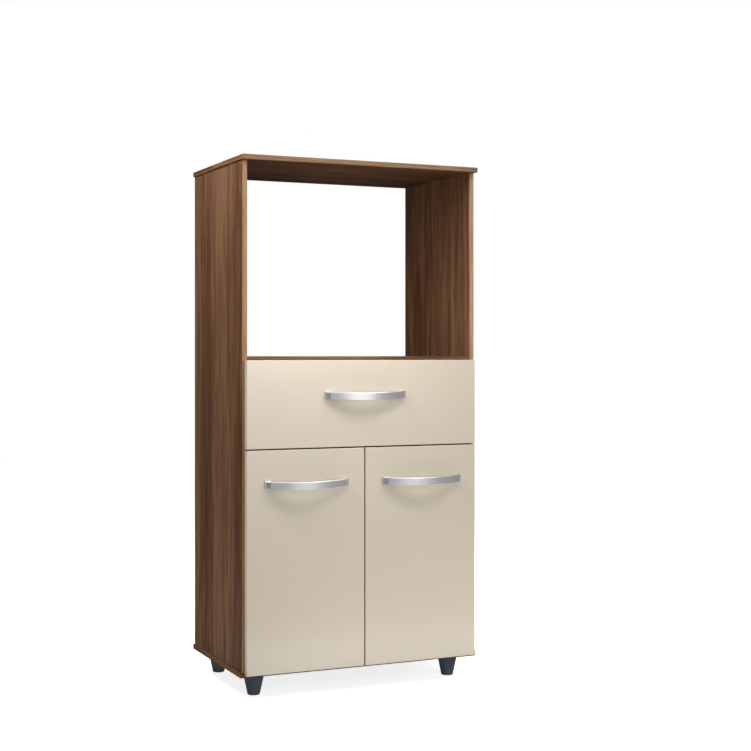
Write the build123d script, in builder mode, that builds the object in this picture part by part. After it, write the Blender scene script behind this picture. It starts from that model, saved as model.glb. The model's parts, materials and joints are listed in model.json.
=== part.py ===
"""Kitchen cabinet with an open niche, one drawer and two doors, standing on four conical feet.

Millimetres. Z is up, the fronts face -Y, and the origin lies on the floor under the middle of the whole box.
"""
import os
from math import atan, cos, degrees, radians, sin

from build123d import *

os.makedirs("parts", exist_ok=True)

# Carcass boards
carcass_width = 580.0
body_height = 1160.0
board = 12.0
hardboard = 3.0
end_overhang = 4.0
top_front_overhang = 14.0
band_radius = 0.8
top_edge_radius = 2.5
niche_height = 435.5
inner_shelf_level = 238.0
inner_shelf_setback = 20.0
inner_shelf_play = 1.0
back_inset = 2.0

# Fronts
front_board = 15.0
front_gap = 1.0
front_spacing = 3.0
front_reveal = 5.5
drawer_front_height = 197.0
shelf_edge_cover = 3.5
door_lift = 5.5
front_radius = 1.2

# Feet
foot_height = 50.0
foot_top_radius = 24.6
foot_base_radius = 13.7
foot_edge_radius = 2.0
foot_wall = 3.0
foot_top_plate = 6.0
foot_boss_radius = 7.0
foot_rib_arc = 72.0
foot_ribs = 4
foot_inset_side = 45.0
foot_inset_front = 51.0
foot_inset_back = 48.0
foot_screw_seat = 15.0
foot_screw_bite = 9.0
foot_head_play = 0.6

# Bow handles
handle_length = 200.0
handle_projection = 30.0
handle_grip = 4.8
handle_end_wall = 7.0
handle_cheek_run = 10.0
handle_cheek_rise = 8.0
handle_foot_length = 12.0
handle_mid_height = 19.2
handle_end_height = 17.4
handle_droop = 3.9
handle_face_radius = 2.0
handle_end_radius = 2.6
handle_face_turn = -0.1
handle_screw_bite = 7.0
drawer_handle_level = 79.0
door_handle_drop = 76.5

# Fixings: radii are those of the pieces, holes are wider by the fit
fit = 0.05
screw_radius = 1.9
screw_head_radius = 3.8
screw_head_height = 2.2
screw_crown = 0.7
sunk_head_height = 2.0
bottom_screw_bite = 32.0
nail_radius = 0.8
nail_head_radius = 2.2
nail_head_height = 0.6
nail_bite = 17.0
nail_pitch = 150.0
nail_end_margin = 40.0
fixing_setback = 60.0
dowel_radius = 4.0
dowel_offset = 32.0
dowel_face_bite = 8.5
dowel_end_bite = 20.0
cam_radius = 6.0
cam_height = 10.2
cam_distance = 24.0
cam_slot_width = 1.6
cam_slot_depth = 1.2
bolt_thread_radius = 2.5
bolt_shank_radius = 1.8
bolt_head_radius = 2.5
bolt_head_length = 3.0
bolt_bite = 8.5
bolt_play = 0.4
pin_radius = 2.5
pin_bite = 8.0
pin_reach = 9.0
pin_setback = 50.0

# Drawer box
drawer_tail = 17.0
drawer_side_height = 120.0
groove_level = 10.0
groove_depth = 5.0
groove_play = 0.1
drawer_cam_levels = (38.0, 92.0)
drawer_back_screw_levels = (45.0, 95.0)
drawer_back_screw_bite = 26.0
drawer_bottom_screw_bite = 12.0
drawer_bottom_screw_inset = 120.0

# Roller runners
runner_space = 12.5
runner_steel = 1.2
runner_length = 300.0
runner_setback = 2.0
runner_end_room = 51.0
runner_lift = 8.0
runner_flange = 10.5
runner_lip_end = 2.0
runner_shelf = 10.0
runner_box_lift = 2.0
roller_radius = 8.5
roller_width = 6.0
roller_chamfer = 0.5
roller_side_play = 0.5
roller_inset = 12.0
roll_play = 0.1
lip_play = 1.0
lip_lift = 0.8
rivet_radius = 2.0
rivet_head_radius = 3.4
rivet_head = 0.8
rivet_play = 0.2
running_fit = 0.05
runner_screw_insets = (60.0, 210.0)
runner_screw_radius = 1.6
runner_screw_head_radius = 2.8
runner_screw_head = 1.4
runner_screw_bite = 8.0

# Concealed hinges. Places are (inward from the side's inner face, back from the carcass front),
# and those in the cup are (inward from the side's inner face, back from the door's rear face)
hinge_handle_room = 1.7
hinge_screw_bite = 9.0
outer_arm_pivot = (25.67, 7.79)
inner_arm_pivot = (16.56, -7.69)
outer_cup_place = (2.48, -2.33)
inner_cup_place = (4.55, -5.72)
outer_elbow = (26.38, -1.04)
inner_elbow = (13.95, -9.02)
inner_eye_shift = (-0.10, -0.70)
inner_eye_play = 0.78
inner_eye_wall = 0.9
pivot_radius = 1.0
pivot_head_radius = 1.8
pivot_head = 0.7
link_half = 1.8
link_thickness = 3.0
link_play = 0.3
nose_half = 1.2
nose_radius = 2.4
arm_front = 18.0
arm_length = 36.0
arm_half = 6.2
arm_steel = 1.2
arm_web = 18.0
arm_flange_end = 6.0
arm_screw_setback = 45.0
arm_screw_bite = 10.0
plate_setback = 37.0
plate_steel = 1.6
plate_width = 15.0
plate_length = 48.0
plate_corner = 4.0
plate_screw_spacing = 32.0
seat_length = 26.0
seat_inset = 2.0
seat_play = 0.2
cup_edge = 3.0
cup_radius = 17.5
cup_wall = 0.8
cup_floor = 0.8
cup_depth = 10.0
cup_play = 0.1
cup_flange = 0.7
cup_screw_spacing = 48.0
cup_screw_offset = 6.0
wing_half = 7.5
wing_reach = 30.0
wing_corner = 5.0
lug_radius = 2.1

# Levels and planes that follow from the sizes above
half_width = carcass_width / 2
inner_half = half_width - board
bottom_under = foot_height
side_bottom = bottom_under + board
top_over = bottom_under + body_height
side_top = top_over - board
shelf_over = side_top - niche_height
shelf_under = shelf_over - board
drawer_front_top = shelf_under + shelf_edge_cover
drawer_front_bottom = drawer_front_top - drawer_front_height
divider_mid = drawer_front_bottom - front_spacing / 2
divider_over = divider_mid + board / 2
divider_under = divider_mid - board / 2
door_top = drawer_front_bottom - front_spacing
door_bottom = bottom_under + door_lift
inner_shelf_under = side_bottom + inner_shelf_level
front_half = half_width - front_reveal
door_width = front_half - front_spacing / 2
side_depth = runner_setback + runner_length + runner_end_room
drawer_depth = front_gap + runner_setback + runner_length + drawer_tail
total_depth = handle_projection + front_board + front_gap + side_depth + hardboard
carcass_back = total_depth / 2 - hardboard
carcass_front = carcass_back - side_depth
front_back = carcass_front - front_gap
front_face = front_back - front_board
back_face = carcass_back + hardboard
handle_screw_spacing = handle_length - handle_foot_length
fixing_rows = (carcass_front + fixing_setback, carcass_back - fixing_setback)
dowel_rows = (fixing_rows[0] + dowel_offset, fixing_rows[1] - dowel_offset)
side_mid = half_width - board / 2
screw_hole = screw_radius + fit
small_hole = runner_screw_radius + fit
hinge_inset = door_handle_drop + screw_head_radius + hinge_handle_room + wing_reach
sides = {"left": -1, "right": 1}
sink_angle = 2 * degrees(atan((screw_head_radius - screw_radius) / sunk_head_height))


def facing(point, direction):
    """Plane at a point whose normal is the outward direction of the face to be drilled."""
    return Plane(origin=point, z_dir=direction)


def write(piece, name):
    """Name a finished piece and write it."""
    piece.part.label = name
    export_step(piece.part, f"parts/{name}.step")


def make_board(x_span, y_span, z_span, rounded, radius, holes):
    """Rectangular board with rounded band edges and drilled holes."""
    with BuildPart() as panel:
        with BuildSketch(Plane.XY.offset(z_span[0])):
            with Locations(((x_span[0] + x_span[1]) / 2, (y_span[0] + y_span[1]) / 2)):
                Rectangle(x_span[1] - x_span[0], y_span[1] - y_span[0])
        extrude(amount=z_span[1] - z_span[0])
        fillet(rounded(panel), radius)
        for plane, hole_radius, hole_depth in holes:
            with Locations(plane):
                Hole(hole_radius, hole_depth)
    return panel


def front_edges(panel):
    """Outline of the face turned to the front."""
    return panel.faces().sort_by(Axis.Y)[0].edges()


def long_front_edges(panel):
    """The two long edges of the face turned to the front."""
    return front_edges(panel).sort_by(SortBy.LENGTH)[-2:]


def rim_edges(panel):
    """Every edge but those of the rear face."""
    back_edges = panel.faces().sort_by(Axis.Y)[-1].edges()
    return panel.edges() - back_edges


def make_pins(planes, profile):
    """Turned pieces, one per plane, from one half profile given as (radius, height) points."""
    with BuildPart() as pins:
        for plane in planes:
            with BuildSketch(Plane(origin=plane.origin, x_dir=plane.x_dir, z_dir=-plane.y_dir)):
                with BuildLine():
                    Polyline(*profile, close=True)
                make_face()
            revolve(axis=Axis(plane.origin, plane.z_dir))
    return pins


def pan_head_screw(radius, head_radius, head_height, length):
    """Half profile of a screw whose head lies on the drilled face."""
    crown = screw_crown * head_radius
    return (
        (0, head_height),
        (crown, head_height),
        (head_radius, 0),
        (radius, 0),
        (radius, -length),
        (0, -length),
    )


def board_screw(length):
    """Pan head screw of the larger size."""
    return pan_head_screw(screw_radius, screw_head_radius, screw_head_height, length)


def small_screw(length):
    """Pan head screw of the smaller size, for runners and hinges."""
    return pan_head_screw(runner_screw_radius, runner_screw_head_radius, runner_screw_head, length)


def sunk_head_screw(length):
    """Half profile of a screw whose head is flush with the drilled face."""
    return (
        (0, 0),
        (screw_head_radius, 0),
        (screw_radius, -sunk_head_height),
        (screw_radius, -length),
        (0, -length),
    )


# Drilling of the carcass joints, collected for the boards and for the fixings
cam_planes = []
bolt_planes = []
dowel_planes = []
bottom_screw_planes = []
bolt_hole = bolt_thread_radius + fit
cam_hole = cam_radius + fit
cam_hole_depth = cam_height + fit
neck_hole = bolt_head_radius + bolt_play
neck_depth = cam_distance
dowel_hole = dowel_radius + fit
side_holes = {-1: [], 1: []}
top_holes = []
bottom_holes = []
level_holes = {"shelf": [], "divider": []}
levels = {"shelf": shelf_over - board / 2, "divider": divider_mid}
level_under = {"shelf": shelf_under, "divider": divider_under}
for side in sides.values():
    inward = (-side, 0, 0)
    outward = (side, 0, 0)
    for name, level in levels.items():
        for row in fixing_rows:
            joint = (side * inner_half, row, level)
            cam_place = (side * (inner_half - cam_distance), row, level_under[name])
            side_holes[side].append((facing(joint, inward), bolt_hole, bolt_bite))
            level_holes[name].append((facing(joint, outward), neck_hole, neck_depth))
            level_holes[name].append((facing(cam_place, (0, 0, -1)), cam_hole, cam_hole_depth))
            bolt_planes.append(facing(joint, inward))
            cam_planes.append((facing(cam_place, (0, 0, -1)), outward))
        for row in dowel_rows:
            joint = (side * inner_half, row, level)
            side_holes[side].append((facing(joint, inward), dowel_hole, dowel_face_bite))
            level_holes[name].append((facing(joint, outward), dowel_hole, dowel_end_bite))
            dowel_planes.append(facing(joint, inward))
    for row in fixing_rows:
        joint = (side * side_mid, row, side_top)
        cam_place = (side * inner_half, row, side_top - cam_distance)
        foot_joint = (side * side_mid, row, bottom_under)
        side_end = (side * side_mid, row, side_bottom)
        top_holes.append((facing(joint, (0, 0, -1)), bolt_hole, bolt_bite))
        side_holes[side].append((facing(joint, (0, 0, 1)), neck_hole, neck_depth))
        side_holes[side].append((facing(cam_place, inward), cam_hole, cam_hole_depth))
        bolt_planes.append(facing(joint, (0, 0, -1)))
        cam_planes.append((facing(cam_place, inward), (0, 0, 1)))
        side_holes[side].append((facing(side_end, (0, 0, -1)), screw_hole, bottom_screw_bite))
        bottom_screw_planes.append(facing(foot_joint, (0, 0, -1)))
    for row in dowel_rows:
        joint = (side * side_mid, row, side_top)
        side_end = (side * side_mid, row, side_bottom)
        top_holes.append((facing(joint, (0, 0, -1)), dowel_hole, dowel_face_bite))
        side_holes[side].append((facing(joint, (0, 0, 1)), dowel_hole, dowel_end_bite))
        bottom_holes.append((facing(side_end, (0, 0, 1)), dowel_hole, dowel_face_bite))
        side_holes[side].append((facing(side_end, (0, 0, -1)), dowel_hole, dowel_end_bite))
        dowel_planes.append(facing(joint, (0, 0, -1)))
        dowel_planes.append(facing(side_end, (0, 0, 1)))

# Shelf pins stand in the sides and carry the inner shelf
pin_rows = (carcass_front + pin_setback, carcass_back - pin_setback)
pin_level = inner_shelf_under - pin_radius
pin_planes = []
for side in sides.values():
    for row in pin_rows:
        pin_plane = facing((side * inner_half, row, pin_level), (-side, 0, 0))
        pin_planes.append(pin_plane)
        side_holes[side].append((pin_plane, pin_radius + fit, pin_bite))
shelf_pins = make_pins(
    pin_planes,
    ((0, -pin_bite), (pin_radius, -pin_bite), (pin_radius, pin_reach), (0, pin_reach)),
)
write(shelf_pins, "shelf_pins")

# Runner levels: the cabinet channel stands above the divider, the drawer hangs in it on its rollers
runner_under = divider_over + runner_lift
track = runner_under + runner_steel
lip_under = track + 2 * roller_radius + lip_lift
channel_under = lip_under + runner_steel + lip_play
box_bottom = track + runner_box_lift
box_top = box_bottom + drawer_side_height
box_half = inner_half - runner_space
box_inner_half = box_half - board
box_back = front_back + drawer_depth
runner_front = carcass_front + runner_setback
runner_back = runner_front + runner_length
front_roller_row = runner_front + roller_inset
rear_roller_row = runner_back - roller_inset
front_roller_level = lip_under - roll_play - roller_radius
rear_roller_level = track + roll_play + roller_radius
runner_screw_level = (track + lip_under) / 2
rivet_length = roller_side_play + roller_width + rivet_play


def across(side, inward):
    """X of a point that lies this far inward from the inner face of a side panel."""
    return side * (inner_half - inward)


def make_runner(side, profile, web_face, rivet_way, rivet_row, rivet_level):
    """Rolled steel runner with the rivet of its roller and its screw holes."""
    with BuildPart() as runner:
        with BuildSketch(Plane.XZ.offset(-runner_front)):
            with BuildLine():
                Polyline(*[(across(side, inward), level) for inward, level in profile], close=True)
            make_face()
        extrude(amount=-runner_length)
        rivet_start = (across(side, web_face), rivet_row, rivet_level)
        head_start = (across(side, web_face) + rivet_way * rivet_length, rivet_row, rivet_level)
        with BuildSketch(facing(rivet_start, (rivet_way, 0, 0))):
            Circle(rivet_radius)
        extrude(amount=rivet_length)
        with BuildSketch(facing(head_start, (rivet_way, 0, 0))):
            Circle(rivet_head_radius)
        extrude(amount=rivet_head)
        for inset in runner_screw_insets:
            hole_place = (across(side, web_face), runner_front + inset, runner_screw_level)
            with Locations(facing(hole_place, (rivet_way, 0, 0))):
                Hole(small_hole, runner_steel)
    return runner


def make_roller(side, start, row, level):
    """Moulded roller on the rivet of its runner."""
    with BuildPart() as roller:
        with BuildSketch(facing((across(side, start), row, level), (-side, 0, 0))):
            Circle(roller_radius)
            Circle(rivet_radius + running_fit, mode=Mode.SUBTRACT)
        extrude(amount=roller_width)
        rims = roller.edges().filter_by(GeomType.CIRCLE).group_by(SortBy.RADIUS)[-1]
        chamfer(rims, roller_chamfer)
    return roller


cabinet_profile = (
    (0, runner_under),
    (runner_flange, runner_under),
    (runner_flange, track),
    (runner_steel, track),
    (runner_steel, channel_under),
    (runner_flange, channel_under),
    (runner_flange, channel_under + runner_steel),
    (0, channel_under + runner_steel),
)
drawer_web = runner_space - runner_steel
drawer_profile = (
    (runner_space + runner_shelf, box_bottom - runner_steel),
    (runner_space + runner_shelf, box_bottom),
    (runner_space, box_bottom),
    (runner_space, lip_under + runner_steel),
    (runner_lip_end, lip_under + runner_steel),
    (runner_lip_end, lip_under),
    (drawer_web, lip_under),
    (drawer_web, box_bottom - runner_steel),
)
cabinet_runner_planes = []
drawer_runner_planes = []
drawer_side_holes = {-1: [], 1: []}
for side_name, side in sides.items():
    cabinet_runner = make_runner(
        side, cabinet_profile, runner_steel, -side, front_roller_row, front_roller_level
    )
    write(cabinet_runner, f"{side_name}_cabinet_runner")
    drawer_runner = make_runner(
        side, drawer_profile, drawer_web, side, rear_roller_row, rear_roller_level
    )
    write(drawer_runner, f"{side_name}_drawer_runner")
    front_roller = make_roller(side, runner_steel + roller_side_play, front_roller_row, front_roller_level)
    write(front_roller, f"{side_name}_front_roller")
    rear_start = drawer_web - roller_side_play - roller_width
    rear_roller = make_roller(side, rear_start, rear_roller_row, rear_roller_level)
    write(rear_roller, f"{side_name}_rear_roller")
    for inset in runner_screw_insets:
        row = runner_front + inset
        wall_hole = facing((side * inner_half, row, runner_screw_level), (-side, 0, 0))
        side_holes[side].append((wall_hole, small_hole, runner_screw_bite))
        web_face = (across(side, runner_steel), row, runner_screw_level)
        cabinet_runner_planes.append(facing(web_face, (-side, 0, 0)))
        box_hole = facing((side * box_half, row, runner_screw_level), (side, 0, 0))
        drawer_side_holes[side].append((box_hole, small_hole, runner_screw_bite))
        drawer_runner_planes.append(facing((across(side, drawer_web), row, runner_screw_level), (side, 0, 0)))
runner_screw = small_screw(runner_steel + runner_screw_bite)
cabinet_runner_screws = make_pins(cabinet_runner_planes, runner_screw)
write(cabinet_runner_screws, "cabinet_runner_screws")
drawer_runner_screws = make_pins(drawer_runner_planes, runner_screw)
write(drawer_runner_screws, "drawer_runner_screws")

# Drawer box: the front is held by cam bolts, the back by screws, the bottom lies in grooves
groove_floor = box_bottom + groove_level
groove_height = hardboard + groove_play
groove_reach = box_inner_half + groove_depth
drawer_front_holes = []
drawer_cam_planes = []
drawer_bolt_planes = []
drawer_back_planes = []
drawer_back_holes = []
for side in sides.values():
    for cam_level in drawer_cam_levels:
        level = box_bottom + cam_level
        joint = (side * (box_half - board / 2), front_back, level)
        cam_place = (side * box_inner_half, front_back + cam_distance, level)
        drawer_front_holes.append((facing(joint, (0, 1, 0)), bolt_hole, bolt_bite))
        drawer_side_holes[side].append((facing(joint, (0, -1, 0)), neck_hole, neck_depth))
        drawer_side_holes[side].append((facing(cam_place, (-side, 0, 0)), cam_hole, cam_hole_depth))
        drawer_bolt_planes.append(facing(joint, (0, 1, 0)))
        drawer_cam_planes.append((facing(cam_place, (-side, 0, 0)), (0, -1, 0)))
    for screw_level in drawer_back_screw_levels:
        level = box_bottom + screw_level
        outer_place = (side * box_half, box_back - board / 2, level)
        inner_place = (side * box_inner_half, box_back - board / 2, level)
        drawer_back_planes.append(facing(outer_place, (side, 0, 0)))
        drawer_back_holes.append((facing(inner_place, (side, 0, 0)), screw_hole, drawer_back_screw_bite))


def make_drawer_side(side):
    """Drawer side with the groove of the bottom and the drilling of front, back and runner."""
    with BuildPart() as drawer_side:
        with BuildSketch(Plane.XY.offset(box_bottom)):
            with Locations((side * (box_half - board / 2), (front_back + box_back) / 2)):
                Rectangle(board, drawer_depth)
        extrude(amount=drawer_side_height)
        upper_edges = drawer_side.edges().filter_by(Axis.Y).group_by(Axis.Z)[-1]
        fillet(upper_edges, band_radius)
        with BuildSketch(Plane.XY.offset(groove_floor)):
            with Locations((side * (box_inner_half + groove_depth / 2), (front_back + box_back) / 2)):
                Rectangle(groove_depth, drawer_depth)
        extrude(amount=groove_height, mode=Mode.SUBTRACT)
        for plane, hole_radius, hole_depth in drawer_side_holes[side]:
            with Locations(plane):
                Hole(hole_radius, hole_depth)
        for plane in drawer_back_planes:
            if plane.origin.X * side > 0:
                with Locations(plane):
                    CounterSinkHole(screw_hole, screw_head_radius + fit, board, sink_angle)
    return drawer_side


for side_name, side in sides.items():
    drawer_side = make_drawer_side(side)
    write(drawer_side, f"drawer_{side_name}_side")

bottom_front = front_back - groove_depth + groove_play
bottom_half = groove_reach - groove_play
drawer_bottom_planes = []
drawer_bottom_holes = []
for x in (-drawer_bottom_screw_inset, drawer_bottom_screw_inset):
    under = (x, box_back - board / 2, groove_floor)
    over = (x, box_back - board / 2, groove_floor + hardboard)
    drawer_bottom_planes.append(facing(under, (0, 0, -1)))
    drawer_bottom_holes.append((facing(under, (0, 0, -1)), small_hole, hardboard))
    drawer_back_holes.append((facing(over, (0, 0, -1)), small_hole, drawer_bottom_screw_bite))

with BuildPart() as drawer_bottom:
    with BuildSketch(Plane.XY.offset(groove_floor)):
        with Locations((0, (bottom_front + box_back) / 2)):
            Rectangle(2 * bottom_half, box_back - bottom_front)
    extrude(amount=hardboard)
    for plane, hole_radius, hole_depth in drawer_bottom_holes:
        with Locations(plane):
            Hole(hole_radius, hole_depth)
write(drawer_bottom, "drawer_bottom")

with BuildPart() as drawer_back:
    with BuildSketch(Plane.XY.offset(groove_floor + hardboard)):
        with Locations((0, box_back - board / 2)):
            Rectangle(2 * box_inner_half, board)
    extrude(amount=box_top - groove_floor - hardboard)
    upper_edges = drawer_back.edges().filter_by(Axis.X).group_by(Axis.Z)[-1]
    fillet(upper_edges, band_radius)
    for plane, hole_radius, hole_depth in drawer_back_holes:
        with Locations(plane):
            Hole(hole_radius, hole_depth)
write(drawer_back, "drawer_back")

# Bow handles and their screws, which come through the fronts from behind
door_middle = front_spacing / 2 + door_width / 2
handle_places = {
    "drawer": (0.0, drawer_front_top - drawer_handle_level),
    "left_door": (-door_middle, door_top - door_handle_drop),
    "right_door": (door_middle, door_top - door_handle_drop),
}
handle_screw = board_screw(front_board + handle_screw_bite)


def make_handle(x, level):
    """Bow handle: a crescent seen from above, hanging a little lower in its middle, with rounded rims."""
    origin = (x, front_face, level)
    plan = Plane(origin=origin, x_dir=(1, 0, 0), z_dir=(0, 0, 1))
    elevation = Plane(origin=origin, x_dir=(1, 0, 0), z_dir=(0, -1, 0))
    end = handle_length / 2
    inner_end = end - handle_foot_length
    bow_end = end - handle_cheek_run
    bow_root = handle_end_wall + handle_cheek_rise
    low = handle_end_height / 2
    high = handle_mid_height / 2
    with BuildPart() as handle:
        with BuildSketch(plan):
            with BuildLine():
                ThreePointArc((-bow_end, -bow_root), (0, -handle_projection), (bow_end, -bow_root))
                Polyline((bow_end, -bow_root), (end, -handle_end_wall), (end, 0), (inner_end, 0))
                ThreePointArc((inner_end, 0), (0, handle_grip - handle_projection), (-inner_end, 0))
                Polyline((-inner_end, 0), (-end, 0), (-end, -handle_end_wall), (-bow_end, -bow_root))
            make_face()
        extrude(amount=high + handle_droop, both=True)
        with BuildSketch(elevation):
            with BuildLine():
                ThreePointArc((-end, low), (0, high - handle_droop), (end, low))
                Line((end, low), (end, -low))
                ThreePointArc((end, -low), (0, -high - handle_droop), (-end, -low))
                Line((-end, -low), (-end, low))
            make_face()
        extrude(amount=handle_projection, mode=Mode.INTERSECT)
        upright_edges = handle.edges().filter_by(Axis.Z).group_by(Axis.X)
        end_corners = [upright_edges[0].sort_by(Axis.Y)[0], upright_edges[-1].sort_by(Axis.Y)[0]]
        fillet(end_corners, handle_end_radius)
        outer_faces = handle.faces().filter_by(lambda face: face.normal_at().Y < handle_face_turn)
        outer_edges = outer_faces.edges()
        fillet(outer_edges - outer_edges.filter_by(Axis.Z), handle_face_radius)
        for offset_x in (-handle_screw_spacing / 2, handle_screw_spacing / 2):
            with Locations(facing((x + offset_x, front_face, level), (0, 1, 0))):
                Hole(screw_hole, handle_screw_bite)
    return handle


handle_holes = {}
for owner, (x, level) in handle_places.items():
    handle = make_handle(x, level)
    write(handle, f"{owner}_handle")
    ends = (x - handle_screw_spacing / 2, x + handle_screw_spacing / 2)
    rear_planes = [facing((end_x, front_back, level), (0, 1, 0)) for end_x in ends]
    handle_screws = make_pins(rear_planes, handle_screw)
    write(handle_screws, f"{owner}_handle_screws")
    handle_holes[owner] = [(plane, screw_hole, front_board) for plane in rear_planes]

# Drawer front with the groove of the drawer bottom
with BuildPart() as drawer_front:
    with BuildSketch(Plane.XY.offset(drawer_front_bottom)):
        with Locations((0, (front_face + front_back) / 2)):
            Rectangle(2 * front_half, front_board)
    extrude(amount=drawer_front_height)
    fillet(front_edges(drawer_front), front_radius)
    with BuildSketch(Plane.XY.offset(groove_floor)):
        with Locations((0, front_back - groove_depth / 2)):
            Rectangle(2 * groove_reach, groove_depth)
    extrude(amount=groove_height, mode=Mode.SUBTRACT)
    for plane, hole_radius, hole_depth in drawer_front_holes + handle_holes["drawer"]:
        with Locations(plane):
            Hole(hole_radius, hole_depth)
write(drawer_front, "drawer_front")

# Cam locks, cam bolts, dowels, screws and nails
bolt_neck = cam_distance - bolt_head_length / 2
bolt_end = cam_distance + bolt_head_length / 2
bolt_profile = (
    (0, -bolt_bite),
    (bolt_thread_radius, -bolt_bite),
    (bolt_thread_radius, 0),
    (bolt_shank_radius, 0),
    (bolt_shank_radius, bolt_neck),
    (bolt_head_radius, bolt_neck),
    (bolt_head_radius, bolt_end),
    (0, bolt_end),
)
dowel_profile = (
    (0, -dowel_face_bite),
    (dowel_radius, -dowel_face_bite),
    (dowel_radius, dowel_end_bite),
    (0, dowel_end_bite),
)


def make_cams(places):
    """Cam locks: drums with a driver slot and a mouth for the bolt's head."""
    with BuildPart() as cams:
        for plane, toward in places:
            with BuildSketch(plane):
                Circle(cam_radius)
            extrude(amount=-cam_height)
            with BuildSketch(plane):
                Rectangle(2 * cam_radius, cam_slot_width)
            extrude(amount=-cam_slot_depth, mode=Mode.SUBTRACT)
            drum_middle = plane.origin - plane.z_dir * (board / 2)
            mouth_end = drum_middle - Vector(toward) * (bolt_head_length / 2 + bolt_play)
            with BuildSketch(facing(mouth_end, toward)):
                Circle(neck_hole)
            extrude(amount=2 * cam_radius, mode=Mode.SUBTRACT)
    return cams


cam_locks = make_cams(cam_planes)
write(cam_locks, "cam_locks")
drawer_cam_locks = make_cams(drawer_cam_planes)
write(drawer_cam_locks, "drawer_cam_locks")
cam_bolts = make_pins(bolt_planes, bolt_profile)
write(cam_bolts, "cam_bolts")
drawer_cam_bolts = make_pins(drawer_bolt_planes, bolt_profile)
write(drawer_cam_bolts, "drawer_cam_bolts")
wood_dowels = make_pins(dowel_planes, dowel_profile)
write(wood_dowels, "wood_dowels")
bottom_panel_screws = make_pins(
    bottom_screw_planes,
    sunk_head_screw(board + bottom_screw_bite),
)
write(bottom_panel_screws, "bottom_panel_screws")
drawer_box_screws = make_pins(
    drawer_back_planes,
    sunk_head_screw(board + drawer_back_screw_bite),
)
write(drawer_box_screws, "drawer_box_screws")
drawer_bottom_screws = make_pins(drawer_bottom_planes, small_screw(hardboard + drawer_bottom_screw_bite))
write(drawer_bottom_screws, "drawer_bottom_screws")

# Back panel nails go into the rear edges of the boards behind drawer and doors
nail_low = side_bottom + nail_end_margin
nail_high = shelf_under - nail_end_margin
nail_steps = max(1, round((nail_high - nail_low) / nail_pitch))
nail_levels = [nail_low + (nail_high - nail_low) * step / nail_steps for step in range(nail_steps + 1)]
nail_columns = (-inner_half / 2, inner_half / 2)
nail_planes = []
for side in sides.values():
    for level in nail_levels:
        nail_planes.append(facing((side * side_mid, back_face, level), (0, 1, 0)))
        edge_plane = facing((side * side_mid, carcass_back, level), (0, 1, 0))
        side_holes[side].append((edge_plane, nail_radius + fit, nail_bite))
nail_boards = (
    (level_holes["shelf"], shelf_under + board / 2),
    (level_holes["divider"], divider_mid),
    (bottom_holes, bottom_under + board / 2),
)
for board_holes, level in nail_boards:
    for column in nail_columns:
        nail_planes.append(facing((column, back_face, level), (0, 1, 0)))
        board_holes.append((facing((column, carcass_back, level), (0, 1, 0)), nail_radius + fit, nail_bite))
nail_length = hardboard + nail_bite
back_panel_nails = make_pins(
    nail_planes,
    (
        (0, 0),
        (nail_head_radius, 0),
        (nail_head_radius, -nail_head_height),
        (nail_radius, -nail_head_height),
        (nail_radius, -nail_length),
        (0, -nail_length),
    ),
)
write(back_panel_nails, "back_panel_nails")

back_holes = []
for plane in nail_planes:
    back_holes.append((plane, nail_radius + fit, hardboard))
    back_holes.append((plane, nail_head_radius + fit, nail_head_height))
with BuildPart() as back_panel:
    with BuildSketch(Plane.XY.offset(bottom_under + back_inset)):
        with Locations((0, (carcass_back + back_face) / 2)):
            Rectangle(carcass_width - 2 * back_inset, hardboard)
    extrude(amount=shelf_over - bottom_under - 2 * back_inset)
    for plane, hole_radius, hole_depth in back_holes:
        with Locations(plane):
            Hole(hole_radius, hole_depth)
write(back_panel, "back_panel")

# Feet: hollow cones with a screw boss and ribs, open below
foot_x = half_width - foot_inset_side
foot_places = {
    "front_left_foot": (-foot_x, carcass_front + foot_inset_front),
    "front_right_foot": (foot_x, carcass_front + foot_inset_front),
    "rear_left_foot": (-foot_x, carcass_back - foot_inset_back),
    "rear_right_foot": (foot_x, carcass_back - foot_inset_back),
}
foot_slope = (foot_top_radius - foot_base_radius) / foot_height
foot_hollow = foot_height - foot_top_plate
foot_screw_level = foot_height - foot_screw_seat


def radial_plane(x, y, turn):
    """Upright plane through a foot's axis, turned about it by an angle in degrees."""
    along = (cos(radians(turn)), sin(radians(turn)), 0)
    return Plane(origin=(x, y, 0), x_dir=along, z_dir=(along[1], -along[0], 0))


def make_foot(x, y):
    """One conical foot."""
    axis = Axis((x, y, 0), (0, 0, 1))
    with BuildPart() as foot:
        with BuildSketch(radial_plane(x, y, 0)):
            with BuildLine():
                Polyline(
                    (0, 0),
                    (foot_base_radius, 0),
                    (foot_top_radius, foot_height),
                    (0, foot_height),
                    close=True,
                )
            make_face()
        revolve(axis=axis)
        fillet(foot.edges().group_by(Axis.Z)[0], foot_edge_radius)
        for rib in range(foot_ribs):
            with BuildSketch(radial_plane(x, y, rib * 360 / foot_ribs)):
                with BuildLine():
                    Polyline(
                        (foot_boss_radius, 0),
                        (foot_base_radius - foot_wall, 0),
                        (foot_base_radius - foot_wall + foot_slope * foot_hollow, foot_hollow),
                        (foot_boss_radius, foot_hollow),
                        close=True,
                    )
                make_face()
            revolve(axis=axis, revolution_arc=foot_rib_arc, mode=Mode.SUBTRACT)
        with Locations(facing((x, y, 0), (0, 0, -1))):
            CounterBoreHole(screw_hole, screw_head_radius + foot_head_play, foot_screw_level, foot_height)
    return foot


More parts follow.
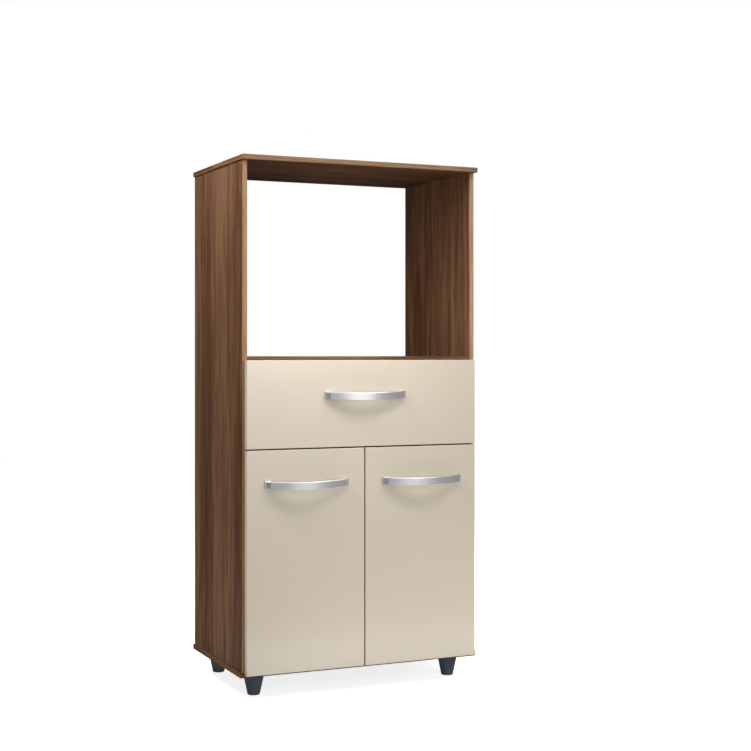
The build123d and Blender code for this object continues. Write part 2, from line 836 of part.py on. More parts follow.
foot_screw_planes = []
for foot_name, (x, y) in foot_places.items():
    foot = make_foot(x, y)
    write(foot, foot_name)
    foot_screw_planes.append(facing((x, y, foot_screw_level), (0, 0, -1)))
    bottom_holes.append((facing((x, y, bottom_under), (0, 0, -1)), screw_hole, foot_screw_bite))
foot_screws = make_pins(foot_screw_planes, board_screw(foot_screw_seat + foot_screw_bite))
write(foot_screws, "foot_screws")

# Concealed hinges, two per door. Each is a four-bar linkage: arm, outer link, inner link and cup
hinge_levels = (door_bottom + hinge_inset, door_top - hinge_inset)
cup_middle = front_reveal - board + cup_edge + cup_radius
cup_inner = cup_radius - cup_wall
hole_depth_cup = cup_depth + cup_floor + cup_play
link_base = nose_half + link_play
link_end = link_base + link_thickness
rivet_base = link_end + link_play
outer_cup_pivot = (outer_cup_place[0], outer_cup_place[1] - front_gap)
inner_cup_pivot = (inner_cup_place[0], inner_cup_place[1] - front_gap)
inner_eye = (inner_cup_pivot[0] + inner_eye_shift[0], inner_cup_pivot[1] + inner_eye_shift[1])
inner_eye_hole = pivot_radius + inner_eye_play


def hinge_point(side, place):
    """X and Y of a hinge point given inward from the side's inner face and back from the carcass front."""
    return (across(side, place[0]), carcass_front + place[1])


def make_links(side, layer, places, radii, holes):
    """Cranked links, one per hinge, lying on one side of the arms' noses."""
    with BuildPart() as links:
        for hinge_level in hinge_levels:
            base = hinge_level + min(layer * link_base, layer * link_end)
            for start in range(len(places) - 1):
                with BuildSketch(Plane.XY.offset(base)):
                    with Locations(hinge_point(side, places[start])):
                        Circle(radii[start])
                    with Locations(hinge_point(side, places[start + 1])):
                        Circle(radii[start + 1])
                    make_hull()
                extrude(amount=link_thickness)
            for place, hole_radius in holes:
                with BuildSketch(Plane.XY.offset(base)):
                    with Locations(hinge_point(side, place)):
                        Circle(hole_radius)
                extrude(amount=link_thickness, mode=Mode.SUBTRACT)
    return links


def make_arms(side):
    """Hinge arms: a channel over the mounting plate, a nose into the cup and the two riveted pivots."""
    body_front = carcass_front + arm_front
    channel = (
        (arm_flange_end, arm_half),
        (arm_web + arm_steel, arm_half),
        (arm_web + arm_steel, -arm_half),
        (arm_flange_end, -arm_half),
        (arm_flange_end, arm_steel - arm_half),
        (arm_web, arm_steel - arm_half),
        (arm_web, arm_half - arm_steel),
        (arm_flange_end, arm_half - arm_steel),
    )
    nose = (inner_arm_pivot, outer_arm_pivot, (arm_web + arm_steel / 2, arm_front + arm_steel))
    with BuildPart() as arms:
        for hinge_level in hinge_levels:
            with BuildSketch(Plane.XZ.offset(-body_front)):
                with BuildLine():
                    corners = [(across(side, inward), hinge_level + up) for inward, up in channel]
                    Polyline(*corners, close=True)
                make_face()
            extrude(amount=-arm_length)
            for start in range(len(nose) - 1):
                with BuildSketch(Plane.XY.offset(hinge_level - nose_half)):
                    with Locations(hinge_point(side, nose[start]), hinge_point(side, nose[start + 1])):
                        Circle(nose_radius)
                    make_hull()
                extrude(amount=2 * nose_half)
            for pivot, layer in ((outer_arm_pivot, 1), (inner_arm_pivot, -1)):
                with BuildSketch(Plane.XY.offset(hinge_level)):
                    with Locations(hinge_point(side, pivot)):
                        Circle(pivot_radius)
                extrude(amount=layer * rivet_base)
                with BuildSketch(Plane.XY.offset(hinge_level + layer * rivet_base)):
                    with Locations(hinge_point(side, pivot)):
                        Circle(pivot_head_radius)
                extrude(amount=layer * pivot_head)
            screw_place = (across(side, arm_web + arm_steel), carcass_front + arm_screw_setback, hinge_level)
            with Locations(facing(screw_place, (-side, 0, 0))):
                Hole(screw_hole, arm_steel)
    return arms


def make_plates(side):
    """Mounting plates: a wing plate on the side panel with a raised seat for the arm."""
    wing_row = carcass_front + plate_setback
    seat_row = carcass_front + arm_front + arm_length - seat_length / 2 - seat_inset
    with BuildPart() as plates:
        for hinge_level in hinge_levels:
            wing_place = (side * inner_half, wing_row, hinge_level)
            seat_place = (side * inner_half, seat_row, hinge_level)
            wing_plane = Plane(origin=wing_place, x_dir=(0, 1, 0), z_dir=(-side, 0, 0))
            seat_plane = Plane(origin=seat_place, x_dir=(0, 1, 0), z_dir=(-side, 0, 0))
            with BuildSketch(wing_plane):
                RectangleRounded(plate_width, plate_length, plate_corner)
                with Locations((0, -plate_screw_spacing / 2), (0, plate_screw_spacing / 2)):
                    Circle(small_hole, mode=Mode.SUBTRACT)
            extrude(amount=plate_steel)
            with BuildSketch(seat_plane):
                Rectangle(seat_length, 2 * (arm_half - arm_steel - seat_play))
            extrude(amount=arm_web)
            screw_place = (across(side, arm_web), carcass_front + arm_screw_setback, hinge_level)
            with Locations(facing(screw_place, (-side, 0, 0))):
                Hole(screw_hole, arm_screw_bite)
    return plates


def make_cup(side, hinge_level):
    """Hinge cup: a drum sunk in the door, wings on the door's rear face, a lug with a pin for each link."""
    middle = (across(side, cup_middle), front_back, hinge_level)
    mouth = Plane(origin=middle, x_dir=(1, 0, 0), z_dir=(0, 1, 0))
    wing_x = -side * cup_screw_offset
    with BuildPart() as cup:
        for pivot, layer in ((outer_cup_pivot, 1), (inner_cup_pivot, -1)):
            with BuildSketch(Plane.XY.offset(hinge_level + layer * rivet_base)):
                with Locations(hinge_point(side, pivot)):
                    Circle(lug_radius)
            extrude(amount=layer * cup_radius)
            with BuildSketch(Plane.XY.offset(hinge_level + layer * link_base)):
                with Locations(hinge_point(side, pivot)):
                    Circle(pivot_radius)
            extrude(amount=layer * cup_radius)
        with BuildSketch(mouth):
            Circle(cup_radius - cup_wall / 2)
        extrude(amount=-cup_depth - cup_floor, mode=Mode.INTERSECT)
        with BuildSketch(mouth):
            Circle(cup_radius)
            Circle(cup_inner, mode=Mode.SUBTRACT)
        extrude(amount=-cup_depth)
        with BuildSketch(mouth.offset(-cup_depth)):
            Circle(cup_radius)
        extrude(amount=-cup_floor)
        with BuildSketch(mouth):
            with Locations((wing_x, 0)):
                RectangleRounded(2 * wing_half, 2 * wing_reach, wing_corner)
            Circle(cup_inner, mode=Mode.SUBTRACT)
            with Locations((wing_x, cup_screw_spacing / 2), (wing_x, -cup_screw_spacing / 2)):
                Circle(small_hole, mode=Mode.SUBTRACT)
        extrude(amount=cup_flange)
    return cup.part


plate_screw_planes = []
arm_screw_planes = []
for side_name, side in sides.items():
    with BuildPart() as hinge_cups:
        for hinge_level in hinge_levels:
            add(make_cup(side, hinge_level))
    write(hinge_cups, f"{side_name}_hinge_cups")
    hinge_arms = make_arms(side)
    write(hinge_arms, f"{side_name}_hinge_arms")
    hinge_plates = make_plates(side)
    write(hinge_plates, f"{side_name}_hinge_plates")
    outer_links = make_links(
        side,
        1,
        (outer_cup_pivot, outer_elbow, outer_arm_pivot),
        (link_half, link_half, link_half),
        ((outer_cup_pivot, pivot_radius + running_fit), (outer_arm_pivot, pivot_radius + running_fit)),
    )
    write(outer_links, f"{side_name}_outer_links")
    inner_links = make_links(
        side,
        -1,
        (inner_eye, inner_elbow, inner_arm_pivot),
        (inner_eye_hole + inner_eye_wall, link_half, link_half),
        ((inner_eye, inner_eye_hole), (inner_arm_pivot, pivot_radius + running_fit)),
    )
    write(inner_links, f"{side_name}_inner_links")
    door_holes = list(handle_holes[f"{side_name}_door"])
    cup_screw_planes = []
    for hinge_level in hinge_levels:
        web_place = (across(side, arm_web + arm_steel), carcass_front + arm_screw_setback, hinge_level)
        arm_screw_planes.append(facing(web_place, (-side, 0, 0)))
        cup_place = (across(side, cup_middle), front_back, hinge_level)
        door_holes.append((facing(cup_place, (0, 1, 0)), cup_radius + cup_play, hole_depth_cup))
        for way in (-1, 1):
            plate_level = hinge_level + way * plate_screw_spacing / 2
            wall_place = (side * inner_half, carcass_front + plate_setback, plate_level)
            wing_place = (across(side, plate_steel), carcass_front + plate_setback, plate_level)
            side_holes[side].append((facing(wall_place, (-side, 0, 0)), small_hole, hinge_screw_bite))
            plate_screw_planes.append(facing(wing_place, (-side, 0, 0)))
            screw_x = across(side, cup_middle + cup_screw_offset)
            screw_level = hinge_level + way * cup_screw_spacing / 2
            door_place = (screw_x, front_back, screw_level)
            door_holes.append((facing(door_place, (0, 1, 0)), small_hole, hinge_screw_bite))
            cup_screw_planes.append(facing((screw_x, front_back + cup_flange, screw_level), (0, 1, 0)))
    cup_screws = make_pins(cup_screw_planes, small_screw(cup_flange + hinge_screw_bite))
    write(cup_screws, f"{side_name}_cup_screws")
    door_span = sorted((side * front_spacing / 2, side * front_half))
    door_panel = make_board(
        door_span, (front_face, front_back), (door_bottom, door_top), front_edges, front_radius, door_holes
    )
    write(door_panel, f"{side_name}_door_panel")
hinge_plate_screws = make_pins(plate_screw_planes, small_screw(plate_steel + hinge_screw_bite))
write(hinge_plate_screws, "hinge_plate_screws")
hinge_arm_screws = make_pins(arm_screw_planes, board_screw(arm_steel + arm_screw_bite))
write(hinge_arm_screws, "hinge_arm_screws")

# Carcass boards, drilled for everything that is fixed to them
for side_name, side in sides.items():
    side_span = sorted((side * inner_half, side * half_width))
    side_panel = make_board(
        side_span,
        (carcass_front, carcass_back),
        (side_bottom, side_top),
        long_front_edges,
        band_radius,
        side_holes[side],
    )
    write(side_panel, f"{side_name}_side_panel")

niche_shelf = make_board(
    (-inner_half, inner_half),
    (carcass_front, carcass_back),
    (shelf_under, shelf_over),
    long_front_edges,
    band_radius,
    level_holes["shelf"],
)
write(niche_shelf, "niche_shelf")

drawer_divider = make_board(
    (-inner_half, inner_half),
    (carcass_front, carcass_back),
    (divider_under, divider_over),
    long_front_edges,
    band_radius,
    level_holes["divider"],
)
write(drawer_divider, "drawer_divider")

inner_shelf = make_board(
    (inner_shelf_play - inner_half, inner_half - inner_shelf_play),
    (carcass_front + inner_shelf_setback, carcass_back - inner_shelf_play),
    (inner_shelf_under, inner_shelf_under + board),
    long_front_edges,
    band_radius,
    [],
)
write(inner_shelf, "inner_shelf")

top_panel = make_board(
    (-half_width - end_overhang, half_width + end_overhang),
    (carcass_front - top_front_overhang, carcass_back),
    (side_top, top_over),
    rim_edges,
    top_edge_radius,
    top_holes,
)
write(top_panel, "top_panel")

with BuildPart() as bottom_panel:
    with BuildSketch(Plane.XY.offset(bottom_under)):
        with Locations((0, (carcass_front + carcass_back) / 2)):
            Rectangle(carcass_width + 2 * end_overhang, side_depth)
    extrude(amount=board)
    fillet(rim_edges(bottom_panel), band_radius)
    for plane, hole_radius, hole_depth in bottom_holes:
        with Locations(plane):
            Hole(hole_radius, hole_depth)
    for plane in bottom_screw_planes:
        with Locations(plane):
            CounterSinkHole(screw_hole, screw_head_radius + fit, board, sink_angle)
write(bottom_panel, "bottom_panel")
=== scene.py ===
"""Looks of the kitchen cabinet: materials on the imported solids, a pale floor, studio light and the camera."""
import json
from math import cos, pi, radians, sin

import bmesh
import bpy
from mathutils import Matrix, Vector


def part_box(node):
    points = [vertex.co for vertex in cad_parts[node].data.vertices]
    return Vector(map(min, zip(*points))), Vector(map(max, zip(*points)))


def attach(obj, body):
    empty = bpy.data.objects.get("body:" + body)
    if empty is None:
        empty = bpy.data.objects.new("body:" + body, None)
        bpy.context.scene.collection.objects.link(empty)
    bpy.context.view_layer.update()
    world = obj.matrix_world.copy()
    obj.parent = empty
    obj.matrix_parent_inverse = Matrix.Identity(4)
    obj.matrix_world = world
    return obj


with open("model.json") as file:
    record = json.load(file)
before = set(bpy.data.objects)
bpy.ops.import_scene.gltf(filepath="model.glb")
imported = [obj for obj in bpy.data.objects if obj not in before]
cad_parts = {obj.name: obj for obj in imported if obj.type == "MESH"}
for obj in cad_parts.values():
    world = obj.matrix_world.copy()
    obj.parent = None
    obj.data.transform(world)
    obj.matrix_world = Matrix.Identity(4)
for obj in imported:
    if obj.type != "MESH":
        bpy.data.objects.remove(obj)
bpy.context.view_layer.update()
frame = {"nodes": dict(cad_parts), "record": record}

nodes = frame["nodes"]

# Camera: a level view from the left of the front, shifted down a little
camera_place = (-1.3245, -3.1632, 0.7683)
camera_turn = -24.3
camera_lens = 68.63
camera_shift_y = -0.0289
camera_sensor = 36.0

# Colours as linear red, green, blue, from dark to light where there are two or three
wood_yellow = ((0.087, 0.040, 0.016), (0.147, 0.073, 0.032), (0.235, 0.124, 0.059))
wood_red = ((0.084, 0.033, 0.016), (0.143, 0.063, 0.032), (0.217, 0.107, 0.059))
side_band = ((0.276, 0.152, 0.077), (0.382, 0.219, 0.116), (0.478, 0.290, 0.166))
top_band = ((0.200, 0.104, 0.054), (0.300, 0.165, 0.090), (0.400, 0.232, 0.134))
# Near-black tones for the drawer divider's front edge: painted shade that makes the gap between the drawer
# front and the doors read dark
painted_gap_shade_tones = ((0.020, 0.012, 0.008), (0.028, 0.017, 0.011), (0.036, 0.022, 0.014))
cream_tones = ((0.700, 0.610, 0.476), (0.722, 0.627, 0.485))
drawer_tones = ((0.56, 0.49, 0.40), (0.70, 0.64, 0.55))
hardboard_tones = ((0.135, 0.075, 0.040), (0.215, 0.128, 0.072), (0.320, 0.205, 0.125))
plastic_tones = ((0.072, 0.094, 0.130), (0.1152, 0.1504, 0.208))
nylon_tones = ((0.74, 0.74, 0.71), (0.83, 0.83, 0.80))
beech_tones = ((0.45, 0.30, 0.17), (0.60, 0.43, 0.27))
runner_tones = ((0.70, 0.69, 0.66), (0.78, 0.77, 0.74))
floor_tones = ((0.86, 0.86, 0.86), (0.88, 0.88, 0.88))
silver = (0.790, 0.790, 0.806)
hinge_grey = (0.66, 0.65, 0.62)
zinc_grey = (0.60, 0.60, 0.58)
white = (1.0, 1.0, 1.0, 1.0)

# Axes that a grain follows, and where the tones of a material lie in the values of its noise
axis_x, axis_y, axis_z = range(3)
wood_places = (0.425, 0.50, 0.575)
hardboard_places = (0.38, 0.50, 0.62)
middle_places = (0.35, 0.65)
wide_places = (0.3, 0.7)

# Share of a normal along an axis, between which a face comes to count as facing that way
facing = (0.55, 0.85)


class Graph:
    """Node tree of one material, with short calls for the nodes that the materials share."""

    def __init__(self, name):
        self.material = bpy.data.materials.new(name)
        self.material.use_nodes = True
        self.tree = self.material.node_tree
        self.shader = self.tree.nodes["Principled BSDF"]
        self.places = self.node("ShaderNodeTexCoord")

    def node(self, kind, **settings):
        made = self.tree.nodes.new(kind)
        for key, value in settings.items():
            setattr(made, key, value)
        return made

    def link(self, source, socket):
        self.tree.links.new(source, socket)

    def stretched(self, scale=(1.0, 1.0, 1.0)):
        """Object coordinates, which a small scale along an axis draws out there."""
        mapping = self.node("ShaderNodeMapping")
        mapping.inputs["Scale"].default_value = scale
        self.link(self.places.outputs["Object"], mapping.inputs["Vector"])
        return mapping.outputs["Vector"]

    def grained(self, along, scale):
        """Object coordinates, drawn out along one axis."""
        scales = [1.0, 1.0, 1.0]
        scales[along] = scale
        return self.stretched(scales)

    def noise(self, vector, scale, detail=2.0, roughness=0.5, distortion=0.0):
        made = self.node("ShaderNodeTexNoise")
        self.link(vector, made.inputs["Vector"])
        made.inputs["Scale"].default_value = scale
        made.inputs["Detail"].default_value = detail
        made.inputs["Roughness"].default_value = roughness
        made.inputs["Distortion"].default_value = distortion
        return made.outputs["Fac"]

    def ramp(self, factor, places, tones):
        """Tones at places between 0 and 1."""
        made = self.node("ShaderNodeValToRGB")
        elements = made.color_ramp.elements
        while len(elements) < len(tones):
            elements.new(0.5)
        for element, place, colour in zip(elements, places, tones):
            element.position = place
            element.color = (*colour, 1.0)
        self.link(factor, made.inputs["Fac"])
        return made.outputs["Color"]

    def weighted(self, shares):
        """Sum of values, each times its share."""
        total = None
        for value, share in shares:
            made = self.node("ShaderNodeMath", operation="MULTIPLY_ADD")
            self.link(value, made.inputs[0])
            made.inputs[1].default_value = share
            made.inputs[2].default_value = 0.0
            if total:
                self.link(total, made.inputs[2])
            total = made.outputs["Value"]
        return total

    def span(self, value, given, wanted=(0.0, 1.0)):
        """Value moved from one span to another."""
        made = self.node("ShaderNodeMapRange")
        self.link(value, made.inputs["Value"])
        made.inputs["From Min"].default_value, made.inputs["From Max"].default_value = given
        made.inputs["To Min"].default_value, made.inputs["To Max"].default_value = wanted
        return made.outputs["Result"]

    def mix(self, factor, first, second):
        made = self.node("ShaderNodeMix", data_type="RGBA")
        self.link(factor, made.inputs["Factor"])
        self.link(first, made.inputs["A"])
        self.link(second, made.inputs["B"])
        return next(output for output in made.outputs if output.type == "RGBA")

    def paint(self, colour):
        self.link(colour, self.shader.inputs["Base Color"])

    def roughen(self, value, given, wanted):
        """Roughness in the wanted span, from a value in the given one."""
        self.link(self.span(value, given, wanted), self.shader.inputs["Roughness"])

    def bump(self, height, strength, distance):
        made = self.node("ShaderNodeBump")
        made.inputs["Strength"].default_value = strength
        made.inputs["Distance"].default_value = distance
        self.link(height, made.inputs["Height"])
        self.link(made.outputs["Normal"], self.shader.inputs["Normal"])

    def set(self, **values):
        """Shader values that are the same all over the surface."""
        for name, value in values.items():
            socket = self.shader.inputs[name.replace("_", " ")]
            socket.default_value = (*value, 1.0) if isinstance(value, tuple) else value


def wood_grain(graph, along):
    """Grain along one axis, a weighted sum of zones, bands, streaks and fibres, and the last two of these."""
    long_cells = graph.grained(along, 0.05)
    longer_cells = graph.grained(along, 0.025)
    zones = graph.noise(long_cells, scale=9.0, detail=1.0, distortion=0.3)
    bands = graph.noise(long_cells, scale=62.0, distortion=0.9)
    streaks = graph.noise(longer_cells, scale=190.0, detail=3.0, roughness=0.6, distortion=0.5)
    fibres = graph.noise(longer_cells, scale=900.0, roughness=0.6)
    grain = graph.weighted(((zones, 0.22), (bands, 0.30), (streaks, 0.34), (fibres, 0.14)))
    return grain, streaks, fibres


def make_wood(name, along, end_along, edge_tones):
    """Brown wood-look board with grain along one axis, a band of its own tones on the front edge, and ends
    whose grain has its own axis."""
    graph = Graph(name)
    grain, streaks, fibres = wood_grain(graph, along)
    yellow = graph.ramp(grain, wood_places, wood_yellow)
    red = graph.ramp(grain, wood_places, wood_red)
    patches = graph.stretched((3.0, 3.0, 0.5) if along == axis_z else (0.5, 3.0, 3.0))
    tint = graph.noise(patches, scale=9.0, detail=1.0)
    colour = graph.mix(graph.span(tint, (0.4, 0.6)), yellow, red)
    normal = graph.node("ShaderNodeSeparateXYZ")
    graph.link(graph.places.outputs["Normal"], normal.inputs["Vector"])
    if end_along != along:
        end_grain = wood_grain(graph, end_along)[0]
        across = graph.node("ShaderNodeMath", operation="ABSOLUTE")
        graph.link(normal.outputs["X"], across.inputs[0])
        end = graph.span(across.outputs["Value"], facing)
        colour = graph.mix(end, colour, graph.ramp(end_grain, wood_places, wood_yellow))
    front = graph.span(normal.outputs["Y"], [-part for part in facing])
    graph.paint(graph.mix(front, colour, graph.ramp(grain, wood_places, edge_tones)))
    graph.roughen(grain, middle_places, (0.60, 0.48))
    graph.bump(graph.weighted(((streaks, 0.5), (fibres, 0.5))), strength=0.25, distance=0.0004)
    graph.set(Specular_IOR_Level=0.16)
    return graph.material


def make_cream():
    """Cream lacquered front with a satin gloss and a faint orange peel."""
    graph = Graph("cream_front")
    still = graph.stretched()
    clouds = graph.noise(still, scale=6.0)
    peel = graph.noise(still, scale=420.0)
    graph.paint(graph.ramp(peel, wide_places, cream_tones))
    graph.roughen(clouds, wide_places, (0.29, 0.35))
    graph.bump(peel, strength=0.05, distance=0.0002)
    graph.set(Specular_IOR_Level=0.8, Coat_Weight=1.0, Coat_Roughness=0.14)
    return graph.material


def make_drawer_board(name, along):
    """Pale laminated board of the drawer box, with a faint grain along one axis."""
    graph = Graph(name)
    grain = graph.noise(graph.grained(along, 0.03), scale=240.0, detail=3.0, roughness=0.6)
    graph.paint(graph.ramp(grain, middle_places, drawer_tones))
    graph.roughen(grain, wide_places, (0.55, 0.45))
    graph.bump(grain, strength=0.15, distance=0.0002)
    return graph.material


def make_hardboard():
    """Pressed fibre board, brown with flecks and a felted surface."""
    graph = Graph("hardboard")
    still = graph.stretched()
    clouds = graph.noise(still, scale=14.0, detail=4.0, roughness=0.6)
    flecks = graph.noise(still, scale=700.0, detail=3.0, roughness=0.7)
    fibre_mix = graph.weighted(((clouds, 0.15), (flecks, 0.85)))
    graph.paint(graph.ramp(fibre_mix, hardboard_places, hardboard_tones))
    graph.roughen(flecks, wide_places, (0.75, 0.6))
    graph.bump(flecks, strength=0.4, distance=0.0004)
    return graph.material


def make_metal(name, colour, scale, rough, bump, stretch=(1.0, 1.0, 1.0)):
    """Metal with lines or spots of brighter and duller surface."""
    graph = Graph(name)
    lines = graph.noise(graph.stretched(stretch), scale, detail=3.0, roughness=0.6)
    dull = tuple(0.9 * part for part in colour)
    bright = tuple(1.06 * part for part in colour)
    graph.paint(graph.ramp(lines, middle_places, (dull, bright)))
    graph.roughen(lines, wide_places, rough)
    graph.bump(lines, bump, distance=0.0001)
    graph.set(Metallic=1.0)
    return graph.material


def make_coated(name, tones, cloud_scale, skin_scale, rough, bump):
    """Coated or moulded surface with clouds of two tones and a fine skin."""
    graph = Graph(name)
    still = graph.stretched()
    clouds = graph.noise(still, cloud_scale, detail=3.0)
    skin = graph.noise(still, skin_scale)
    graph.paint(graph.ramp(clouds, wide_places, tones))
    graph.roughen(clouds, wide_places, rough)
    graph.bump(skin, bump, distance=0.0002)
    return graph.material


# Looks by material slot, and the looks of boards whose grain or edge differs from their slot's
wood_upright = make_wood("brown_board_upright", axis_z, axis_z, side_band)
wood_top = make_wood("brown_board_top", axis_x, axis_y, top_band)
# The drawer divider's front edge takes the near-black tones as painted shade in the gap between the drawer and
# the doors
divider_with_painted_gap_shade = make_wood("brown_board_divider_painted_gap_shade", axis_x, axis_y, painted_gap_shade_tones)
wood_level = make_wood("brown_board_level", axis_x, axis_y, wood_yellow)
wood_cap = make_wood("brown_cap", axis_z, axis_z, wood_yellow)
handle_lines = (0.02, 1.0, 1.0)
looks = {
    "brown_board": wood_level,
    "cream_front": make_cream(),
    "drawer_board": make_drawer_board("drawer_board_sides", axis_y),
    "hardboard": make_hardboard(),
    "black_plastic": make_coated("foot_plastic", plastic_tones, 40.0, 1600.0, rough=(0.38, 0.48), bump=0.12),
    "silver_handle": make_metal("silver_handle", silver, 2200.0, (0.37, 0.29), 0.05, handle_lines),
    "white_nylon": make_coated("white_nylon", nylon_tones, 45.0, 900.0, rough=(0.32, 0.42), bump=0.05),
    "beech_dowel": make_coated("beech_dowel", beech_tones, 25.0, 500.0, rough=(0.55, 0.7), bump=0.2),
    "runner_steel": make_coated("runner_steel", runner_tones, 35.0, 700.0, rough=(0.30, 0.40), bump=0.08),
    "hinge_steel": make_metal("hinge_steel", hinge_grey, 260.0, rough=(0.36, 0.28), bump=0.05),
    "zinc_fixing": make_metal("zinc_fixing", zinc_grey, 420.0, rough=(0.42, 0.28), bump=0.08),
}
board_looks = {
    "left_side_panel": wood_upright,
    "right_side_panel": wood_upright,
    "top_panel": wood_top,
    "drawer_divider": divider_with_painted_gap_shade,
    "drawer_back": make_drawer_board("drawer_board_back", axis_x),
}
for subpart in frame["record"]["subparts"]:
    node_name = subpart["node"]
    look = board_looks.get(node_name, looks[subpart["material_slot"]])
    slots = nodes[node_name].data.materials
    slots.clear()
    slots.append(look)

# Caps over the cam locks in the side panels, just under the top panel
cap_radius = 0.0085
cap_height = 0.0011
cap_rim = 0.0006
cap_rim_steps = 3
cap_sides = 40
cap_drop = 0.024
cap_rows = {"front": -0.095, "rear": 0.138}


def make_cap(name, centre, inward):
    """Low round cap with a softened rim, on the inner face of a side panel."""
    outline = [(cap_radius, 0.0)]
    for step in range(cap_rim_steps + 1):
        turn = 0.5 * pi * step / cap_rim_steps
        reach = cap_radius - cap_rim + cap_rim * cos(turn)
        outline.append((reach, cap_height - cap_rim + cap_rim * sin(turn)))
    shape = bmesh.new()
    rings = []
    for reach, height in outline:
        ring = []
        for side in range(cap_sides):
            angle = 2.0 * pi * side / cap_sides
            place = Vector((inward * height, reach * cos(angle), reach * sin(angle)))
            ring.append(shape.verts.new(centre + place))
        rings.append(ring)
    for low, high in zip(rings, rings[1:]):
        for side in range(cap_sides):
            after = (side + 1) % cap_sides
            shape.faces.new((low[side], low[after], high[after], high[side]))
    shape.faces.new(rings[0])
    shape.faces.new(rings[-1])
    bmesh.ops.recalc_face_normals(shape, faces=shape.faces)
    mesh = bpy.data.meshes.new(name)
    shape.to_mesh(mesh)
    shape.free()
    mesh.materials.append(wood_cap)
    cap = bpy.data.objects.new(name, mesh)
    bpy.context.scene.collection.objects.link(cap)
    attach(cap, "carcass")


for panel, inward in (("left", 1.0), ("right", -1.0)):
    panel_low, panel_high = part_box(panel + "_side_panel")
    inner_face = panel_high[0] if inward > 0.0 else panel_low[0]
    for place, row in cap_rows.items():
        cap_centre = Vector((inner_face, row, panel_high[2] - cap_drop))
        make_cap(f"{panel}_{place}_cam_cap", cap_centre, inward)

# Floor, which glows so that it stays as pale as the backdrop
floor_size = 14.0
floor_glow = 0.80
bpy.ops.mesh.primitive_plane_add(size=floor_size, location=(0.0, 0.0, 0.0))
floor = bpy.context.object
floor.name = "floor"
pale_floor = make_coated("pale_floor", floor_tones, 3.0, 60.0, rough=(0.7, 0.8), bump=0.02)
floor_shader = pale_floor.node_tree.nodes["Principled BSDF"]
floor_shader.inputs["Emission Color"].default_value = white
floor_shader.inputs["Emission Strength"].default_value = floor_glow
floor.data.materials.append(pale_floor)
floor.visible_diffuse = False
floor.visible_glossy = False


def add_light(name, place, aim, size, power):
    """Soft rectangular lamp that looks at a point."""
    lamp = bpy.data.lights.new(name, "AREA")
    lamp.shape = "RECTANGLE"
    lamp.size, lamp.size_y = size
    lamp.energy = power
    holder = bpy.data.objects.new(name, lamp)
    holder.location = place
    holder.rotation_euler = (Vector(aim) - Vector(place)).to_track_quat("-Z", "Y").to_euler()
    holder.visible_camera = False
    bpy.context.scene.collection.objects.link(holder)


add_light("key_light", place=(0.80, -1.00, 2.00), aim=(0.0, -0.17, 0.60), size=(0.5, 0.5), power=7.6)
add_light("soft_box", place=(0.75, -3.3, 1.44), aim=(0.75, 0.0, 1.44), size=(1.9, 1.50), power=12.6)
add_light("soft_box_core", place=(0.80, -3.28, 1.44), aim=(0.80, 0.0, 1.44), size=(0.8, 1.46), power=3.4)
add_light("low_soft_box", place=(0.90, -3.3, 0.34), aim=(0.90, 0.0, 0.34), size=(1.7, 0.6), power=2.2)
add_light("niche_light", place=(-0.08, -0.45, 1.00), aim=(-0.04, -0.17, 0.72), size=(0.65, 0.15), power=1.05)
add_light("niche_bounce", place=(-0.20, 0.02, 0.93), aim=(0.278, 0.02, 0.76), size=(0.30, 0.20), power=0.42)
add_light("front_fill", place=(-1.6, -2.6, 1.0), aim=(0.0, -0.10, 0.70), size=(1.2, 1.6), power=3.5)
add_light("left_light", place=(-3.2, 0.2, 0.35), aim=(-0.29, 0.0, 0.25), size=(1.4, 1.3), power=12.0)
add_light("corner_light", place=(-0.90, -0.33, 1.60), aim=(-0.29, -0.05, 1.10), size=(0.5, 0.5), power=9.6)
add_light("floor_bounce", place=(0.35, -0.50, 0.005), aim=(0.35, -0.50, 1.0), size=(1.2, 0.5), power=2.1)
add_light("left_bounce", place=(-0.70, -0.05, 0.005), aim=(-0.70, -0.05, 1.0), size=(0.5, 0.8), power=2.1)
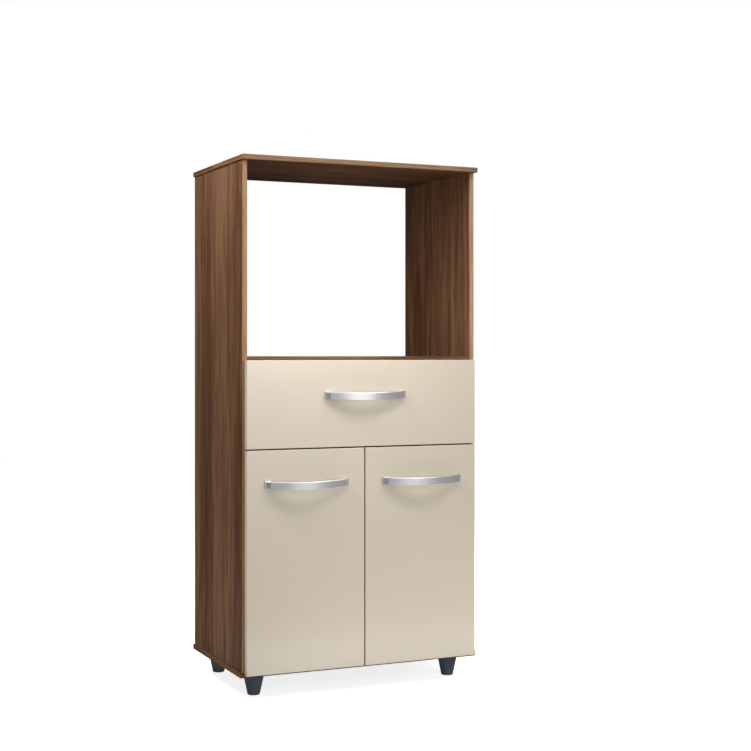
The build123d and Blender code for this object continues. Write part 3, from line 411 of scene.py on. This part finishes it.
add_light("back_fill", place=(1.3, 2.2, 2.1), aim=(0.0, 0.20, 0.40), size=(1.0, 1.0), power=34.0)
add_light("right_fill", place=(2.5, 1.5, 0.9), aim=(0.29, 0.0, 0.60), size=(1.4, 1.6), power=16.0)


# Room that other rays than the camera's see: where it is brightest, and its light on the far side and there
room_bright_side = (0.35, -0.72, 0.60)
room_dark_from = -0.4
room_darkest = 0.05
room_brightest = 0.42


def make_world():
    """White all round for the camera, and a grey room for other rays."""
    world = bpy.data.worlds.new("studio")
    world.use_nodes = True
    tree = world.node_tree
    made = tree.nodes.new
    backdrop = tree.nodes["Background"]
    backdrop.inputs["Color"].default_value = white
    places = made("ShaderNodeTexCoord")
    towards = made("ShaderNodeVectorMath")
    towards.operation = "DOT_PRODUCT"
    towards.inputs[1].default_value = room_bright_side
    tree.links.new(places.outputs["Generated"], towards.inputs[0])
    level = made("ShaderNodeMapRange")
    level.inputs["From Min"].default_value = room_dark_from
    level.inputs["To Min"].default_value = room_darkest
    level.inputs["To Max"].default_value = room_brightest
    tree.links.new(towards.outputs["Value"], level.inputs["Value"])
    room = made("ShaderNodeBackground")
    room.inputs["Color"].default_value = white
    tree.links.new(level.outputs["Result"], room.inputs["Strength"])
    rays = made("ShaderNodeLightPath")
    mix = made("ShaderNodeMixShader")
    tree.links.new(rays.outputs["Is Camera Ray"], mix.inputs["Fac"])
    tree.links.new(room.outputs["Background"], mix.inputs[1])
    tree.links.new(backdrop.outputs["Background"], mix.inputs[2])
    tree.links.new(mix.outputs["Shader"], tree.nodes["World Output"].inputs["Surface"])
    bpy.context.scene.world = world


make_world()
bpy.context.scene.view_settings.view_transform = "Standard"

camera_data = bpy.data.cameras.new("camera")
camera_data.lens = camera_lens
camera_data.sensor_width = camera_sensor
camera_data.shift_y = camera_shift_y
camera = bpy.data.objects.new("camera", camera_data)
camera.location = camera_place
camera.rotation_euler = (radians(90.0), 0.0, radians(camera_turn))
bpy.context.scene.collection.objects.link(camera)
bpy.context.scene.camera = camera
